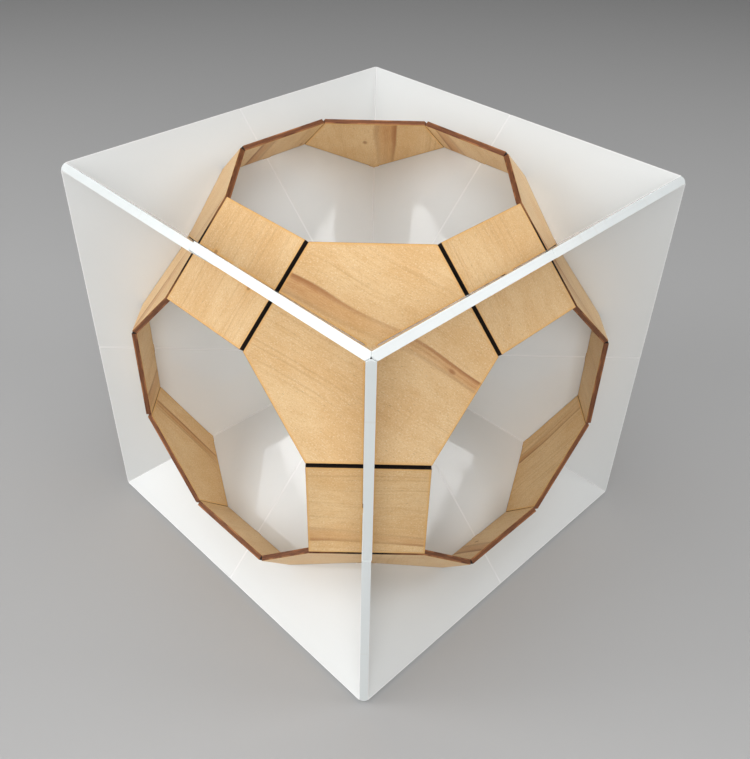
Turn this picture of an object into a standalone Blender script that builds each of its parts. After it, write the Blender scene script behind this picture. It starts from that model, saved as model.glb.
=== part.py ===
"""Take-apart cube puzzle: eight corner blocks of acrylic fins threaded through a plywood shell.

The cube stands on one face. Twelve panels of opal acrylic lie in its diagonal planes, each split at
the middle of its cube edge into two right-triangular fins. A shell of slotted plywood plates, a
truncated cuboctahedron, locks the fins together: eight hexagons behind the corners and twelve
squares behind the edges. Its six octagons are left open, one in each face of the cube.

Front is -Y, right is +X. The origin is at the middle of the footprint.
"""

import math
from itertools import product

import bmesh
import bpy
from mathutils import Matrix, Vector

# Driving dimensions, in metres
PLATE_EDGE = 0.040          # edge of every hexagon and square, on the shell's inner side
PLY = 0.0020                # plywood thickness
ACRYLIC = 0.0030            # acrylic thickness
CUBE_HALF = 0.0783          # cube centre to the middle of a cube face
SLOT_PLAY = 0.0001          # play on each side of a plate in its slot
JOINT_GAP = 0.0001          # left between plates that meet edge to edge
HEXAGON_NECK = 0.0040       # wood between the inner ends of two slots in a hexagon
SQUARE_BRIDGE = 0.0040      # wood between the two slots in a square
FIN_TIP = 0.0035            # cube centre to the blunt inner end of a fin
PIN_HOLE = 0.0002           # cube's diagonal to the blunt point of a fin's mitred long side

# Worked out from them
EDGE_LINE = math.sqrt(2) * CUBE_HALF                         # cube centre to a cube edge
SHELL_NEAR = PLATE_EDGE / 2                                  # the shell's inner vertices are all the
SHELL_MIDDLE = PLATE_EDGE * (1 + math.sqrt(2)) / 2           # signed orders of these three
SHELL_FAR = PLATE_EDGE * (1 + 2 * math.sqrt(2)) / 2
HEXAGON_INSIDE = (SHELL_NEAR + SHELL_MIDDLE + SHELL_FAR) / math.sqrt(3)
SQUARE_INSIDE = (SHELL_MIDDLE + SHELL_FAR) / math.sqrt(2)
BAND_CORNER = ACRYLIC / (2 * math.sqrt(2))                   # how far a square-cut fin stands past the cube
CUBE_CENTRE = Vector((0, 0, CUBE_HALF + BAND_CORNER))
SLOT_WIDTH = ACRYLIC + 2 * SLOT_PLAY
HEXAGON_SLOT_END = (HEXAGON_NECK + SLOT_WIDTH / 2) / math.sqrt(3)
MITRE = math.radians(60)                                    # off the fin's face, as three fins meet there

SIDES = ({-1: "left", 1: "right"}, {-1: "front", 1: "back"}, {-1: "bottom", 1: "top"})
NAME_ORDER = (2, 1, 0)      # names say top or bottom first, then front or back, then left or right


def place_name(signs):
    """Names a corner or an edge of the cube, such as top_front_right or top_front."""
    return "_".join(SIDES[axis][signs[axis]] for axis in NAME_ORDER if signs[axis])


def make_material(name, colour, roughness):
    material = bpy.data.materials.new(name)
    material.use_nodes = True
    shader = material.node_tree.nodes["Principled BSDF"]
    shader.inputs["Base Color"].default_value = (*colour, 1)
    shader.inputs["Roughness"].default_value = roughness
    shader.inputs["Metallic"].default_value = 0
    return material


def make_plate_mesh(name, outline, bottom, thickness, material, mitred=False):
    """Cuts a flat plate: the outline runs counter-clockwise in X and Y, and Z is its thickness."""
    shape = bmesh.new()
    face = shape.faces.new([shape.verts.new((x, y, bottom)) for x, y in outline])
    raised = bmesh.ops.extrude_face_region(shape, geom=[face])["geom"]
    corners = [item for item in raised if isinstance(item, bmesh.types.BMVert)]
    bmesh.ops.translate(shape, verts=corners, vec=(0, 0, thickness))
    if mitred:
        mitre_long_side(shape)
    bmesh.ops.recalc_face_normals(shape, faces=shape.faces)
    mesh = bpy.data.meshes.new(name)
    shape.to_mesh(mesh)
    shape.free()
    mesh.materials.append(material)
    return mesh


def mitre_long_side(shape):
    """Slants both sides of a fin's long edge, so that three fins close up round the diagonal."""
    into_fin = Vector((1, -math.sqrt(2), 0)).normalized()
    for side in (-1, 1):
        kept = into_fin * math.sin(MITRE) - Vector((0, 0, side * math.cos(MITRE)))
        bmesh.ops.bisect_plane(shape, geom=shape.verts[:] + shape.edges[:] + shape.faces[:],
                               plane_co=kept * JOINT_GAP / 2, plane_no=kept, clear_inner=True)
        bmesh.ops.holes_fill(shape, edges=[edge for edge in shape.edges if edge.is_boundary])


def fin_outline():
    """A right triangle: X runs from the cube's centre to its edge, Y along the edge to a corner.

    The long side lies along the cube's diagonal, where three fins meet. It has a notch for the
    middle of the hexagon, and the short inner side has one for the bridge of the square.
    """
    def beside_diagonal(along, away):
        return (math.sqrt(2) * along + away) / math.sqrt(3), (along - math.sqrt(2) * away) / math.sqrt(3)

    def long_side_height(x):
        return x / math.sqrt(2) - PIN_HOLE * math.sqrt(3 / 2)

    seam = JOINT_GAP / 2
    bridge = SQUARE_BRIDGE / 2 + SLOT_PLAY
    square_in, square_out = SQUARE_INSIDE - SLOT_PLAY, SQUARE_INSIDE + PLY + SLOT_PLAY
    hexagon_in, hexagon_out = HEXAGON_INSIDE - SLOT_PLAY, HEXAGON_INSIDE + PLY + SLOT_PLAY
    notch = HEXAGON_SLOT_END + SLOT_PLAY
    return [(FIN_TIP, seam),
            (square_in, seam), (square_in, bridge), (square_out, bridge), (square_out, seam),
            (EDGE_LINE, seam), (EDGE_LINE, long_side_height(EDGE_LINE)),
            beside_diagonal(hexagon_out, PIN_HOLE), beside_diagonal(hexagon_out, notch),
            beside_diagonal(hexagon_in, notch), beside_diagonal(hexagon_in, PIN_HOLE),
            (FIN_TIP, long_side_height(FIN_TIP))]


def hexagon_outline():
    """A regular hexagon with a slot from the middle of every second edge almost to its centre."""
    apothem = PLATE_EDGE * math.sqrt(3) / 2 - JOINT_GAP
    third = [(HEXAGON_SLOT_END, SLOT_WIDTH / 2), (apothem, SLOT_WIDTH / 2)]
    third += [(apothem, apothem / math.sqrt(3))]
    outline = []
    for turn in range(3):
        angle = math.radians(120 * turn)
        outline += [rotated(x, y, angle) for x, y in third]
        outline.append(rotated(apothem, -apothem / math.sqrt(3), angle + math.radians(120)))
        outline += [rotated(x, -SLOT_WIDTH / 2, angle + math.radians(120))
                    for x in (apothem, HEXAGON_SLOT_END)]
    return outline


def rotated(x, y, angle):
    return (x * math.cos(angle) - y * math.sin(angle), x * math.sin(angle) + y * math.cos(angle))


def square_outline():
    """A square with a slot from the middle of two opposite edges almost to its centre."""
    half = PLATE_EDGE / 2 - JOINT_GAP
    slot, bridge = SLOT_WIDTH / 2, SQUARE_BRIDGE / 2
    return [(half, -half), (half, half),
            (slot, half), (slot, bridge), (-slot, bridge), (-slot, half),
            (-half, half), (-half, -half),
            (-slot, -half), (-slot, -bridge), (slot, -bridge), (slot, -half)]


def place(name, mesh, corner, x_axis, y_axis):
    """Adds a plate on its corner block, with its origin at the cube's centre."""
    plate = bpy.data.objects.new(name, mesh)
    bpy.context.collection.objects.link(plate)
    plate.parent = corner
    x_axis, y_axis = x_axis.normalized(), y_axis.normalized()
    plate.matrix_local = Matrix((x_axis, y_axis, x_axis.cross(y_axis))).transposed().to_4x4()


def unit(axis):
    return Vector([1.0 if index == axis else 0.0 for index in range(3)])


def build():
    for item in list(bpy.data.objects):
        bpy.data.objects.remove(item, do_unlink=True)

    acrylic = make_material("opal_acrylic", (0.80, 0.81, 0.80), 0.35)
    plywood = make_material("birch_plywood", (0.79, 0.55, 0.28), 0.60)
    fin_mesh = make_plate_mesh("fin", fin_outline(), -ACRYLIC / 2, ACRYLIC, acrylic, mitred=True)
    hexagon_mesh = make_plate_mesh("hexagon", hexagon_outline(), HEXAGON_INSIDE, PLY, plywood)
    square_mesh = make_plate_mesh("square", square_outline(), SQUARE_INSIDE, PLY, plywood)

    # Eight corner blocks: an empty, one hexagon and the three fins that meet on the cube's diagonal
    corners = {}
    for signs in product((-1, 1), repeat=3):
        corner = bpy.data.objects.new("corner_" + place_name(signs), None)
        corner.location = CUBE_CENTRE
        bpy.context.collection.objects.link(corner)
        corners[signs] = corner

        diagonal = Vector(signs)
        for axis in range(3):
            to_corner = unit(axis) * signs[axis]
            outward = diagonal - to_corner
            edge = place_name([0 if index == axis else signs[index] for index in range(3)])
            place(f"fin_{edge}_{SIDES[axis][signs[axis]]}", fin_mesh, corner, outward, to_corner)
        slot_direction = diagonal - 3 * signs[0] * unit(0)
        place("hexagon_" + place_name(signs), hexagon_mesh, corner,
              slot_direction, diagonal.cross(slot_direction))

    # Twelve squares, each kept by the corner block at the left, front or bottom end of its edge
    for axis in range(3):
        for first, second in product((-1, 1), repeat=2):
            signs = [first, second]
            signs.insert(axis, 0)
            outward = Vector(signs)
            signs[axis] = -1
            across = unit(axis).cross(outward)
            place("square_" + place_name([0 if index == axis else sign for index, sign in enumerate(signs)]),
                  square_mesh, corners[tuple(signs)], across, outward.cross(across))


build()
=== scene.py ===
"""Take-apart cube puzzle: opal acrylic fins threaded through a laser-cut plywood shell."""
import math
from itertools import product

import bmesh
import bpy
from mathutils import Matrix, Vector


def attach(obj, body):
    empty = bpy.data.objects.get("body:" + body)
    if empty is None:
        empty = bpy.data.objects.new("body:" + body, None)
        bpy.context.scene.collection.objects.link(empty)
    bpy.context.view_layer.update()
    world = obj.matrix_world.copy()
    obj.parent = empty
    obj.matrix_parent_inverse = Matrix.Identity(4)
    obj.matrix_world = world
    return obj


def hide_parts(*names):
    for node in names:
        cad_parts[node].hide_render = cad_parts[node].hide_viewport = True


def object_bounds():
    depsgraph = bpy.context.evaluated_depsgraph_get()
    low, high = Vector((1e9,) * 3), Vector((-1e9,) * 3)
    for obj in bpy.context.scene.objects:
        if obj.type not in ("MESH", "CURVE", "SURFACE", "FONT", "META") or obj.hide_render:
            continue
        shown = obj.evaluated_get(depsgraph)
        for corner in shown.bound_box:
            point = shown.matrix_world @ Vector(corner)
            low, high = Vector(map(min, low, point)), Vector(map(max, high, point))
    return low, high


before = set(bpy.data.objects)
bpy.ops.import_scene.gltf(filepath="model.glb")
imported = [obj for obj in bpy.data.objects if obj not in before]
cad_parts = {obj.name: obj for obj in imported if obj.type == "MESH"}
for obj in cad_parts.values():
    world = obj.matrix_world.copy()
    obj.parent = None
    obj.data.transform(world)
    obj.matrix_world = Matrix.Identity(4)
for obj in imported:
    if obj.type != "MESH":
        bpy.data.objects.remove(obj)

cad_low, cad_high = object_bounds()
MM = 0.001

# ---------------------------------------------------------------------------------------------
# The acrylic fins. Each is a right triangle of 3 mm white opal sheet, cut by laser, so its edges
# are straight, glassy and only just eased. Two fins meet at the middle of every cube edge, three
# round every half diagonal of the cube, and all of them point at the centre.
# ---------------------------------------------------------------------------------------------
SIDES = ({-1: "left", 1: "right"}, {-1: "front", 1: "back"}, {-1: "bottom", 1: "top"})
NAME_ORDER = (2, 1, 0)
CORNERS = list(product((-1, 1), repeat=3))

CUBE_CENTRE = (cad_low + cad_high) / 2
ACRYLIC = 3.0 * MM
CUBE_HALF = cad_high.x - ACRYLIC / math.sqrt(8)
EDGE_LINE = math.sqrt(2) * CUBE_HALF
FIN_EASE = 0.03 * MM
BRIGHT_MARGIN = 0.50 * MM   # where light that runs along the sheet starts to show beside an edge
FIN_CORNER = 0.25 * MM
FIN_TIP = 3.5 * MM
SEAM = 0.005 * MM
MITRE = math.radians(60)
MITRE_PLAY = 0.01 * MM
PIN_HOLE = 0.2 * MM         # from the cube's diagonal to the blunt point of a mitre
JOINT_GAP = 0.1 * MM        # left along each edge where two plywood plates meet

PLY = 2.0 * MM
PLATE_EDGE = 40.0 * MM
SHELL_NEAR = PLATE_EDGE / 2
SHELL_MIDDLE = SHELL_NEAR * (1 + math.sqrt(2))
SHELL_FAR = SHELL_NEAR * (1 + math.sqrt(8))
HEXAGON_INSIDE = (SHELL_NEAR + SHELL_MIDDLE + SHELL_FAR) / math.sqrt(3)
SQUARE_INSIDE = (SHELL_MIDDLE + SHELL_FAR) / math.sqrt(2)
SLOT = ACRYLIC + 0.3 * MM
HEXAGON_SLOT_END = 3.25 * MM
SQUARE_BRIDGE = 4.0 * MM
NOTCH_PLAY = 0.12 * MM

OPAL = (0.83, 0.845, 0.84)
# Painted glow beside a cut: the light that runs along the sheet, painted into the face colour
OPAL_CUT = (0.84, 0.88, 0.88)
OPAL_PAINTED_EDGE_GLOW = (0.95, 0.96, 0.96)
OPAL_SMOKE = (0.62, 0.50, 0.36)
OPAL_DUST = (0.60, 0.59, 0.57)
OPAL_DEPTH = 0.25 * MM      # how far light wanders in the sheet before it comes out again


def place_name(signs):
    """Names a corner or an edge of the cube, such as top_front_right or top_front."""
    return "_".join(SIDES[axis][signs[axis]] for axis in NAME_ORDER if signs[axis])


def unit(axis):
    return Vector([float(index == axis) for index in range(3)])


class Wire:
    """An output of a shader node that Python can do sums with; each sum adds its Math node."""

    def __init__(self, tree, socket=None):
        self.tree, self.socket = tree, socket

    def add(self, kind, settings=(), inputs=(), output=0):
        """Adds a node: its settings first, then its sockets' values or links. Gives one output."""
        made = self.tree.nodes.new("ShaderNode" + kind)
        for name, value in dict(settings).items():
            setattr(made, name, value)
        for name, value in dict(inputs).items():
            if isinstance(value, Wire):
                self.tree.links.new(value.socket, made.inputs[name])
            else:
                made.inputs[name].default_value = value
        return Wire(self.tree, made.outputs[output])

    def sum(self, operation, *values):
        return self.add("Math", {"operation": operation}, dict(enumerate(values)))

    def __add__(self, other):
        return self.sum("ADD", self, other)

    def __sub__(self, other):
        return self.sum("SUBTRACT", self, other)

    def __rsub__(self, other):
        return self.sum("SUBTRACT", other, self)

    def __mul__(self, other):
        return self.sum("MULTIPLY", self, other)

    def __truediv__(self, other):
        return self.sum("DIVIDE", self, other)

    __radd__, __rmul__ = __add__, __mul__

    def clipped(self):
        return self.sum("MINIMUM", self.sum("MAXIMUM", self, 0), 1)

    def rising(self, low, high):
        """0 below low, 1 above high, and a smooth step between."""
        return self.add("MapRange", {"interpolation_type": "SMOOTHSTEP"},
                        {"Value": self, "From Min": low, "From Max": high})

    def mixed(self, first, second):
        """Goes from the first colour to the second as this value goes from 0 to 1."""
        first, second = [c if isinstance(c, Wire) else (*c, 1) for c in (first, second)]
        return self.add("Mix", {"data_type": "RGBA"}, {0: self, 6: first, 7: second}, 2)


def start_finish(name):
    """A new material: gives it, a wire to build from, its shader, and the sheet coordinates in mm."""
    material = bpy.data.materials.new(name)
    material.use_nodes = True
    tree = material.node_tree
    wire = Wire(tree)
    sheet = wire.add("Attribute", {"attribute_name": "sheet"}, output=1)
    split = wire.add("SeparateXYZ", inputs={0: sheet})
    along, across, height = [Wire(tree, output) for output in split.socket.node.outputs]
    return material, wire, tree.nodes["Principled BSDF"], along * 1000, across * 1000, height * 1000


def pattern(wire, along, across, detail=2.0, rough=0.5, seed=0.0):
    """Noise over two lengths that were already divided by the size of the pattern each way."""
    place = wire.add("CombineXYZ", inputs={0: along, 1: across, 2: seed})
    return wire.add("TexNoise", {"noise_dimensions": "3D"},
                    {"Vector": place, "Scale": 1.0, "Detail": detail, "Roughness": rough})


def finish(wire, shader, colour, roughness, height, bump_depth):
    """Joins colour, roughness and a bump of that depth in metres to the shader."""
    bump = wire.add("Bump", inputs={"Height": height, "Distance": bump_depth, "Strength": 1.0})
    for name, value in (("Base Color", colour), ("Roughness", roughness), ("Normal", bump)):
        wire.tree.links.new(value.socket, shader.inputs[name])


def opal_acrylic():
    """White opal acrylic: light soaks into it. Its faces are glossy, with a faint haze of handling and a
    little dust. Beside a cut they are painted paler, a painted glow for light that runs along the sheet
    and comes out near the edge, and the cut edges have fine beam lines."""
    material, wire, shader, along, across, height = start_finish("opal_acrylic")
    cut = wire.add("Attribute", {"attribute_name": "cut"}, output=2)
    cloud = pattern(wire, along / 32, across / 24, 2.0, 0.5, 1.7)
    haze = pattern(wire, along / 11, across / 7, 3.0, 0.6, 5.1).rising(0.50, 0.74)
    dust = pattern(wire, along / 0.7, across / 0.7, 1.0, 0.5, 9.3).rising(0.78, 0.84)
    smoke = pattern(wire, along / 5, across / 5, 2.0, 0.6, 3.9).rising(0.62, 0.80) * cut
    colour = cloud.mixed([part * 0.98 for part in OPAL], OPAL)
    # Painted glow: the face is painted paler beside a cut, for light that runs along the sheet and comes
    # out there.
    colour = cut.rising(0.0, 0.5).mixed(colour, OPAL_PAINTED_EDGE_GLOW)
    colour = cut.rising(0.6, 1.0).mixed(colour, OPAL_CUT)
    colour = (smoke * 0.2).mixed(colour, OPAL_SMOKE)
    colour = (dust * 0.12).mixed(colour, OPAL_DUST)
    ripple = pattern(wire, along / 16, across / 12, 1.0, 0.4, 2.2)
    beam_lines = pattern(wire, along / 0.3, across / 0.3, 1.0, 0.5, 7.7) * cut
    finish(wire, shader, colour, 0.055 + haze * 0.06 + dust * 0.15 + cut * 0.14,
           ripple * 0.9 + beam_lines * 0.03, 0.10 * MM)
    shader.inputs["IOR"].default_value = 1.49
    shader.inputs["Subsurface Weight"].default_value = 1.0
    shader.inputs["Subsurface Radius"].default_value = (1.0, 1.0, 1.0)
    shader.inputs["Subsurface Scale"].default_value = OPAL_DEPTH
    return material


def inset(outline, depth):
    """Moves every side of a counter-clockwise outline inwards by depth."""
    moved = []
    for before, point, after in zip(outline[-1:] + outline[:-1], outline, outline[1:] + outline[:1]):
        arriving, leaving = (point - before).normalized(), (after - point).normalized()
        inward = [Vector((-side.y, side.x)) for side in (arriving, leaving)]
        bisector = inward[0] + inward[1]
        moved.append(point + bisector * depth / bisector.dot(inward[0]))
    return moved


def rounded(outline, radius, steps=3):
    """Turns every corner into an arc that touches both of its sides."""
    turned = []
    for before, point, after in zip(outline[-1:] + outline[:-1], outline, outline[1:] + outline[:1]):
        back, ahead = (before - point).normalized(), (after - point).normalized()
        half_angle = back.angle(ahead) / 2
        reach = radius / math.tan(half_angle)
        centre = point + (back + ahead).normalized() * radius / math.sin(half_angle)
        first, last = point + back * reach - centre, point + ahead * reach - centre
        sweep = first.angle_signed(last)
        turned += [centre + Matrix.Rotation(-sweep * step / steps, 2) @ first for step in range(steps + 1)]
    return turned


GAP_SHADE_CUT = 1.3                 # cut value of an edge in a gap between plates, which is painted black as painted shade; 1 is a plain cut edge
UNBURNT = (1.0, 1.0)        # a burn a metre off, so no burn


def cut_plate(name, outline_at, corner, profile, lies, burn=UNBURNT, on_rim=lambda x, y: True):
    """Makes a closed plate from rings. Each step of the edge's profile is (inset, height, cut):
    the plate's outline at that height, set in, and the cut value for its finish. lies(x, y, height)
    gives the place on the sheet that a point was cut from, or on another veneer for the back. burn
    is the place of a scorch mark. Cut edges that aren't on a rim lie in a gap between plates and are
    painted black there, as painted shade."""
    shape = bmesh.new()
    sheet = shape.verts.layers.float_vector.new("sheet")
    burn_layer = shape.verts.layers.float_vector.new("burn")
    cut = shape.verts.layers.float.new("cut")
    rings = []
    for depth, height, value in profile:
        ring = []
        for point in rounded(inset(outline_at(height), depth), corner):
            vert = shape.verts.new((*point, height))
            vert[sheet] = lies(point.x, point.y, height)
            vert[burn_layer] = (point.x - burn[0], point.y - burn[1], 0)
            # Edges off a rim sit in a gap and get the value of the painted gap shade.
            vert[cut] = value if value < 1 or on_rim(point.x, point.y) else GAP_SHADE_CUT
            ring.append(vert)
        rings.append(ring)
    shape.faces.new(rings[0])
    for upper, lower in zip(rings, rings[1:]):
        for index, vert in enumerate(upper):
            shape.faces.new((vert, upper[index - 1], lower[index - 1], lower[index]))
    shape.faces.new(reversed(rings[-1]))
    bmesh.ops.recalc_face_normals(shape, faces=shape.faces)
    mesh = bpy.data.meshes.new(name)
    shape.to_mesh(mesh)
    shape.free()
    return mesh


def add_plate(name, mesh, material, x_axis, y_axis, body, node, lean=0.0):
    """Stands a plate in the cube and hands it to its corner block in place of the plain one. It
    may lean about the half diagonal of the cube, as far as the play of its slots lets it."""
    x_axis, y_axis = x_axis.normalized(), y_axis.normalized()
    turn = Matrix((x_axis, y_axis, x_axis.cross(y_axis))).transposed().to_4x4()
    mesh.transform(Matrix.Translation(CUBE_CENTRE) @ turn @ Matrix.Rotation(lean, 4, HALF_DIAGONAL))
    mesh.materials.append(material)
    plate = bpy.data.objects.new(name, mesh)
    bpy.context.collection.objects.link(plate)
    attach(plate, body)
    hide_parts(node)
    return plate


def fin_outline(height):
    """X runs from the cube's centre to its edge, Y along that edge. The long side is mitred, so
    that three fins close up round the diagonal. It is notched for the middle of the hexagon, and
    the short inner side for the bridge of the square."""
    setback = max(PIN_HOLE, (MITRE_PLAY + abs(height) * math.cos(MITRE)) / math.sin(MITRE))

    def beside_diagonal(reach, away):
        return Vector((math.sqrt(2) * reach + away, reach - math.sqrt(2) * away)) / math.sqrt(3)

    def on_long_side(x):
        return Vector((x, x / math.sqrt(2) - setback * math.sqrt(1.5)))

    bridge = SQUARE_BRIDGE / 2 + NOTCH_PLAY
    square_in, square_out = SQUARE_INSIDE - NOTCH_PLAY, SQUARE_INSIDE + PLY + NOTCH_PLAY
    hexagon_in, hexagon_out = HEXAGON_INSIDE - NOTCH_PLAY, HEXAGON_INSIDE + PLY + NOTCH_PLAY
    notch = HEXAGON_SLOT_END + NOTCH_PLAY
    return [Vector((FIN_TIP, SEAM)),
            Vector((square_in, SEAM)), Vector((square_in, bridge)),
            Vector((square_out, bridge)), Vector((square_out, SEAM)),
            Vector((EDGE_LINE, SEAM)), on_long_side(EDGE_LINE),
            beside_diagonal(hexagon_out, setback), beside_diagonal(hexagon_out, notch),
            beside_diagonal(hexagon_in, notch), beside_diagonal(hexagon_in, setback),
            on_long_side(FIN_TIP)]


def fin_profile():
    """From one face round the cut edge to the other, with both arrises eased."""
    half, ease = ACRYLIC / 2, FIN_EASE
    soft = ease * (1 - math.sqrt(0.5))
    blunt = PIN_HOLE * math.tan(MITRE) - MITRE_PLAY / math.cos(MITRE)
    # The first two steps only set the mask of the painted glow on the face beside the edge.
    upper = [(BRIGHT_MARGIN, half, 0), (BRIGHT_MARGIN / 2, half, 0.45), (ease, half, 0.6),
             (soft, half - soft, 0.8), (0, half - ease, 1), (0, blunt, 1)]
    return upper + [(depth, -height, value) for depth, height, value in reversed(upper)]


opal = opal_acrylic()
HALF_DIAGONAL = Vector((math.sqrt(2), 1, 0)).normalized()
LEAN = {"top_front": -0.0040, "front_right": 0.0018}    # the two edges whose seams show a step
SLIGHT_LEAN = 0.0008
for number, (signs, axis) in enumerate(product(CORNERS, range(3))):
    to_corner = unit(axis) * signs[axis]
    outward = Vector(signs) - to_corner
    edge = place_name([0 if index == axis else sign for index, sign in enumerate(signs)])
    name = f"{edge}_{SIDES[axis][signs[axis]]}"
    start = Vector((0.13 * (number % 6), 0.11 * (number // 6)))
    fin_mesh = cut_plate("opal_" + name, fin_outline, FIN_CORNER, fin_profile(),
                         lambda x, y, height: (start.x + x, start.y + y, height))
    add_plate("opal_fin_" + name, fin_mesh, opal, outward, to_corner, "corner_" + place_name(signs),
              "fin_" + name, LEAN.get(edge, SLIGHT_LEAN * math.sin(2.4 * number)))

# ---------------------------------------------------------------------------------------------
# The plywood hexagons, one behind each corner of the cube. They are cut by laser from 2 mm
# three-ply birch, which browns the faces beside a cut and leaves the cut edge charred. Three
# slots run in from every second edge for the fins.
# ---------------------------------------------------------------------------------------------
BIRCH = (0.84, 0.56, 0.27)
BIRCH_PALE = (0.89, 0.63, 0.335)
BIRCH_DEEP = (0.76, 0.455, 0.185)
# Pale fleck colour: partly the wood's own flecks, partly a painted sheen
BIRCH_PALE_FLECK_AND_SHEEN = (0.95, 0.76, 0.50)
BIRCH_LINE = (0.52, 0.265, 0.09)
BIRCH_PORE = (0.30, 0.15, 0.06)
MINERAL = (0.57, 0.245, 0.07)
MINERAL_LINE = (0.36, 0.125, 0.03)
HALO = (0.82, 0.45, 0.13)
SCORCH = (0.34, 0.14, 0.045)
CHAR = (0.14, 0.042, 0.016)
CHAR_PALE = (0.46, 0.19, 0.07)
# Painted shade: the colour of cut edges down in the gaps between plates
PAINTED_GAP_SHADE = (0.012, 0.008, 0.006)
STREAK_PITCH = 90.0         # mm across the grain from one mineral streak to the next
STREAK_LENGTH = 70.0        # mm along the grain from one dark stretch of a streak to the next
STREAK_WIDTH = 5.5          # mm, give or take the swell
STREAK_SWELL = 1.7
FIRST_BURN_TO_SECOND = (4.2, 21.0)      # mm


def birch_plywood():
    """Rotary-cut birch, sanded: a calm mottled figure with soft lines, pores, dark flecks and pale ones
    that carry a painted sheen, a pin knot here and there and now and then a mineral streak with a sharp
    side and a faint one."""
    material, wire, shader, along, across, height = start_finish("birch_plywood")
    cut = wire.add("Attribute", {"attribute_name": "cut"}, output=2)
    sway = pattern(wire, along / 55, across / 38, 1.0, 0.5, 0.3) - 0.5
    waved = across + sway * 9
    cloud = pattern(wire, along / 24, across / 15, 2.0, 0.5, 4.4)
    mottle = pattern(wire, along / 7, waved / 3.2, 2.0, 0.55, 8.8)
    grouped = pattern(wire, along / 60, waved / 14, 1.0, 0.5, 3.6).rising(0.38, 0.66)
    line = pattern(wire, along / 60, waved / 0.9, 2.0, 0.5, 2.9).rising(0.46, 0.74) * grouped
    fibre = pattern(wire, along / 4.5, waved / 0.22, 2.0, 0.6, 6.1)
    fleck = pattern(wire, along / 0.55, waved / 0.32, 1.0, 0.5, 1.2)
    pore = pattern(wire, along / 1.6, waved / 0.24, 0.0, 0.5, 4.8).rising(0.78, 0.85)
    knot_place = wire.add("CombineXYZ", inputs={0: along / 70, 1: waved / 41})
    knot = 1 - wire.add("TexVoronoi", {"voronoi_dimensions": "2D"},
                        {"Vector": knot_place, "Scale": 1.0}).rising(0.006, 0.026)

    from_line = wire.sum("PINGPONG", waved, STREAK_PITCH) - STREAK_PITCH / 2
    stretch = pattern(wire, along / 26, across / 70, 2.0, 0.5, 5.6)
    turn_along = along * (math.tau / STREAK_LENGTH)
    width = STREAK_WIDTH - wire.sum("COSINE", turn_along * 0.5) * STREAK_SWELL + (stretch - 0.5) * 2
    inside = from_line / width
    body = inside.rising(0.0, 0.06) * (1 - inside.rising(0.55, 1.0))
    sharp_side = inside.rising(-0.06, 0.04) * (1 - inside.rising(0.04, 0.34))
    faint_side = inside.rising(0.66, 0.93) * (1 - inside.rising(0.93, 1.10))
    dark = 0.30 + (0.5 + 0.5 * wire.sum("COSINE", turn_along)) * 0.70

    colour = cloud.rising(0.30, 0.70).mixed(BIRCH_DEEP, BIRCH_PALE)
    colour = (0.60 - mottle * 0.3).mixed(colour, BIRCH)
    colour = (mottle.rising(0.46, 0.72) * 0.45).mixed(colour, BIRCH_DEEP)
    colour = (line * (0.34 + body * 0.5)).mixed(colour, BIRCH_LINE)
    colour = (fibre.rising(0.42, 0.75) * 0.20).mixed(colour, BIRCH_LINE)
    colour = (fleck.rising(0.55, 0.75) * 0.34).mixed(colour, BIRCH_LINE)
    # Pale flecks: partly the wood's own pale flecks, partly a painted sheen glinting on them.
    colour = ((1 - fleck).rising(0.55, 0.75) * 0.55).mixed(colour, BIRCH_PALE_FLECK_AND_SHEEN)
    colour = (pore * 0.5).mixed(colour, BIRCH_PORE)
    colour = (body * dark * (0.50 + fibre.rising(0.40, 0.65) * 0.30)).mixed(colour, MINERAL)
    colour = ((sharp_side * 0.80 + faint_side * 0.40) * dark).mixed(colour, MINERAL_LINE)
    colour = (knot * 0.7).mixed(colour, MINERAL_LINE)

    singe = pattern(wire, along / 4, across / 4, 2.0, 0.6, 3.3) - 0.5
    burn_place = wire.add("Attribute", {"attribute_name": "burn"}, output=1)
    burn_split = wire.add("SeparateXYZ", inputs={0: burn_place}).socket.node.outputs
    burnt = 0
    for step in (0, 1):
        x, y = [Wire(wire.tree, burn_split[axis]) * 1000 - FIRST_BURN_TO_SECOND[axis] * step
                for axis in (0, 1)]
        reach = wire.sum("SQRT", x * x + y * y) * (1 + singe)
        burnt = (1 - reach.rising(0.3, 2.4)) + burnt
    near_cut = cut + singe * 0.5 * cut
    colour = (near_cut.rising(0.10, 0.60) * 0.70 + burnt * 0.55).clipped().mixed(colour, HALO)
    colour = (near_cut.rising(0.72, 1.0) + burnt.rising(0.75, 1.0) * 0.6).clipped().mixed(colour, SCORCH)
    soot = pattern(wire, along / 9, across / 9, 3.0, 0.6, 9.9).rising(0.35, 0.68)
    veneer = PLY / MM / 4
    core = (height - veneer).rising(-0.05, 0.05) * (1 - (height - 3 * veneer).rising(-0.05, 0.05))
    charred = (soot * (1 - core * 0.55)).mixed(CHAR, CHAR_PALE)
    colour = cut.rising(0.90, 0.99).mixed(colour, charred)
    # Painted shade: cut edges in the gaps between plates are painted black for the shade down in the gap.
    colour = cut.rising(1.05, 1.25).mixed(colour, PAINTED_GAP_SHADE)
    roughness = 0.44 + fleck * 0.16 - mottle * 0.06 + cut.rising(0.9, 1.0) * 0.15
    relief = fibre * 0.35 + fleck * 0.65 + line * 0.2 - pore * 0.5
    finish(wire, shader, colour, roughness, relief, 0.055 * MM)
    shader.inputs["IOR"].default_value = 1.42
    return material


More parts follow.
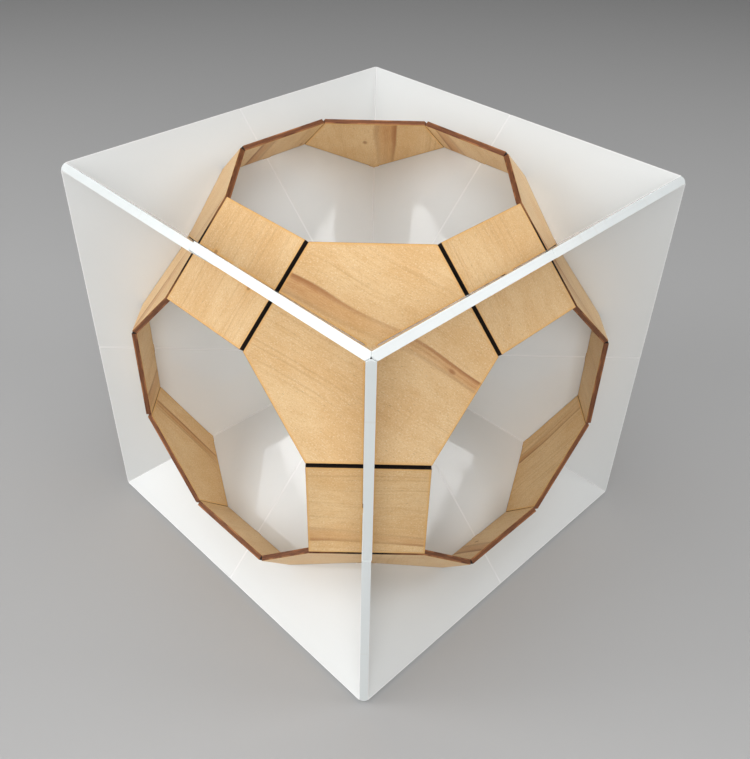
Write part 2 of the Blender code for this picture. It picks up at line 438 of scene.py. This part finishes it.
def hexagon_outline(height):
    """A regular hexagon with a slot from the middle of every second edge almost to its centre."""
    apothem = PLATE_EDGE * math.sqrt(0.75) - JOINT_GAP
    half_edge, half_slot = apothem / math.sqrt(3), SLOT / 2
    third = [Vector((HEXAGON_SLOT_END, half_slot)), Vector((apothem, half_slot)),
             Vector((apothem, half_edge)),
             Matrix.Rotation(math.radians(120), 2) @ Vector((apothem, -half_edge)),
             Matrix.Rotation(math.radians(120), 2) @ Vector((apothem, -half_slot)),
             Matrix.Rotation(math.radians(120), 2) @ Vector((HEXAGON_SLOT_END, -half_slot))]
    return [Matrix.Rotation(math.radians(120 * turn), 2) @ point for turn in range(3) for point in third]


def ply_profile(bottom):
    """From the outer face over the browned margin and down the three veneers of the cut edge."""
    glue = 0.03 * MM
    veneer = PLY / 4
    top = bottom + PLY
    return [(1.3 * MM, top, 0), (0.7 * MM, top, 0.30), (0.25 * MM, top, 0.55), (0.05 * MM, top, 0.85),
            (0, top - 0.05 * MM, 1), (0, top - veneer + glue, 1), (glue, top - veneer, 1),
            (0, top - veneer - glue, 1), (0, bottom + veneer + glue, 1), (glue, bottom + veneer, 1),
            (0, bottom + veneer - glue, 1), (0, bottom + 0.05 * MM, 1),
            (0.05 * MM, bottom, 0.85), (0.25 * MM, bottom, 0.55), (0.7 * MM, bottom, 0.30),
            (1.3 * MM, bottom, 0)]


def from_veneers(outer, inner, bottom):
    """Where a plate's two faces lay on their veneers: (along, across, turn) for each."""
    def lies(x, y, height):
        along, across, turn = outer if height > bottom + PLY / 2 else inner
        turned = Matrix.Rotation(math.radians(turn), 2) @ Vector((x, y))
        return along * MM + turned.x, across * MM + turned.y, height - bottom
    return lies


def is_hexagon_rim(x, y):
    """True on the three edges without a slot, which border the octagonal openings."""
    turned = [Matrix.Rotation(math.radians(60 + 120 * turn), 2) @ Vector((x, y)) for turn in range(3)]
    return max(point.x for point in turned) > PLATE_EDGE * math.sqrt(0.75) - 2 * JOINT_GAP


birch = birch_plywood()
PLATE_CORNER = 0.12 * MM
# Where on its veneer a face lay: mm along and across the grain, and degrees from slot to grain
HEXAGON_OUTER = {"top_front_right": (35, 54.5, 0)}
HEXAGON_INNER = {"top_back_left": (315, 127.5, 60), "bottom_front_left": (435, 216, 60),
                 "bottom_back_right": (412, 416.5, 60)}
for number, signs in enumerate(CORNERS):
    name = place_name(signs)
    diagonal = Vector(signs)
    slot_direction = diagonal - 3 * signs[0] * unit(0)
    outer = HEXAGON_OUTER.get(name, (310 * number + 20, 22 * number + 5, 120 * (number % 3)))
    inner = HEXAGON_INNER.get(name, (270 * number + 170, 13 * number + 6, 120 * (number % 3)))
    hexagon_mesh = cut_plate("ply_" + name, hexagon_outline, PLATE_CORNER, ply_profile(HEXAGON_INSIDE),
                             from_veneers(outer, inner, HEXAGON_INSIDE), on_rim=is_hexagon_rim)
    add_plate("ply_hexagon_" + name, hexagon_mesh, birch, slot_direction, diagonal.cross(slot_direction),
              "corner_" + name, "hexagon_" + name)

# ---------------------------------------------------------------------------------------------
# The plywood squares, one behind each edge of the cube, of the same plywood. Two slots leave a
# narrow bridge in the middle, where the fins of two corner blocks meet.
# ---------------------------------------------------------------------------------------------


def square_outline(height):
    half, slot, bridge = PLATE_EDGE / 2 - JOINT_GAP, SLOT / 2, SQUARE_BRIDGE / 2
    side = [(half, -half), (half, half), (slot, half), (slot, bridge), (-slot, bridge), (-slot, half)]
    return [Vector(point) for point in side] + [-Vector(point) for point in side]


def is_square_rim(x, y):
    return abs(x) > PLATE_EDGE / 2 - 2 * JOINT_GAP


# As for the hexagons. The streaks of the two top squares lie off their outer faces.
SQUARE_OUTER = {"front_right": (105, 241, 0), "top_front": (830, 2, 0), "top_right": (2210, 182, 0)}
BURNS = {"top_front": (-2.1 * MM, -11.0 * MM)}      # the first of its two marks beside the fins
SQUARE_INNER = {"top_left": (200, 236.5, 0), "bottom_right": (510, 599.8, 0)}
for number, (axis, first, second) in enumerate(product(range(3), (-1, 1), (-1, 1))):
    signs = [first, second]
    signs.insert(axis, 0)
    outward = Vector(signs)
    across = unit(axis).cross(outward)
    name = place_name(signs)
    signs[axis] = -1
    outer = SQUARE_OUTER.get(name, (230 * number + 600, 31 * number + 4, 0))
    inner = SQUARE_INNER.get(name, (190 * number + 900, 17 * number + 9, 0))
    square_mesh = cut_plate("ply_" + name, square_outline, PLATE_CORNER, ply_profile(SQUARE_INSIDE),
                            from_veneers(outer, inner, SQUARE_INSIDE),
                            BURNS.get(name, UNBURNT), is_square_rim)
    add_plate("ply_square_" + name, square_mesh, birch, across, outward.cross(across),
              "corner_" + place_name(signs), "square_" + name)

# ---------------------------------------------------------------------------------------------
# The camera looks down at the near corner of the cube, turned a little on its own axis.
# ---------------------------------------------------------------------------------------------
AZIMUTH, ELEVATION, ROLL = math.radians(44.41), math.radians(38.04), math.radians(1.51)
FROM_CENTRE = Vector((1.9 * MM, -12.0 * MM, 356.7 * MM))    # right, up and back, as the camera sees it
TO_CAMERA = Vector((math.sin(AZIMUTH) * math.cos(ELEVATION), -math.cos(AZIMUTH) * math.cos(ELEVATION),
                    math.sin(ELEVATION)))
RIGHT = Vector((math.cos(AZIMUTH), math.sin(AZIMUTH), 0))
level = Matrix((RIGHT, TO_CAMERA.cross(RIGHT), TO_CAMERA)).transposed()
facing = level @ Matrix.Rotation(ROLL, 3, "Z")
camera = bpy.data.objects.new("camera", bpy.data.cameras.new("camera"))
bpy.context.collection.objects.link(camera)
camera.data.lens = 41.24
camera.data.clip_start, camera.data.clip_end = 0.01, 20
camera.matrix_world = Matrix.Translation(CUBE_CENTRE + facing @ FROM_CENTRE) @ facing.to_4x4()
bpy.context.scene.camera = camera

# ---------------------------------------------------------------------------------------------
# The studio: a plain pale floor and five soft lights. Two stand on the left, high and low, one is
# overhead, one is behind and one is near the camera.
# ---------------------------------------------------------------------------------------------
floor_mesh = bpy.data.meshes.new("floor")
floor_mesh.from_pydata([(-3, -3, 0), (3, -3, 0), (3, 3, 0), (-3, 3, 0)], [], [(0, 1, 2, 3)])
floor = bpy.data.objects.new("floor", floor_mesh)
bpy.context.collection.objects.link(floor)
floor_paint = bpy.data.materials.new("floor_paint")
floor_paint.use_nodes = True
floor_paint.node_tree.nodes["Principled BSDF"].inputs["Base Color"].default_value = (0.50, 0.50, 0.50, 1)
floor_paint.node_tree.nodes["Principled BSDF"].inputs["Roughness"].default_value = 0.8
floor_mesh.materials.append(floor_paint)

world = bpy.data.worlds.new("studio")
world.use_nodes = True
world.node_tree.nodes["Background"].inputs["Color"].default_value = (1.0, 1.0, 1.0, 1)
world.node_tree.nodes["Background"].inputs["Strength"].default_value = 0.04
bpy.context.scene.world = world

for name, direction, distance, size, power in (
        ("window_softbox", (-0.547, -0.617, 0.568), 1.1, 0.42, 2.2),
        ("low_window_softbox", (-0.45, -0.85, 0.15), 1.2, 0.80, 5.4),
        ("overhead_softbox", (0.05, -0.05, 1.0), 1.1, 1.10, 6.9),
        ("back_softbox", (0.616, 0.567, 0.547), 1.2, 0.45, 2.7),
        ("camera_softbox", (0.62, -0.60, 0.42), 1.2, 0.80, 6.2)):
    lamp = bpy.data.lights.new(name, "AREA")
    lamp.shape, lamp.size, lamp.energy = "SQUARE", size, power
    softbox = bpy.data.objects.new(name, lamp)
    bpy.context.collection.objects.link(softbox)
    softbox.location = CUBE_CENTRE + Vector(direction).normalized() * distance
    softbox.rotation_mode = "QUATERNION"
    softbox.rotation_quaternion = Vector(direction).to_track_quat("Z", "Y")

bpy.context.scene.view_settings.view_transform = "Standard"
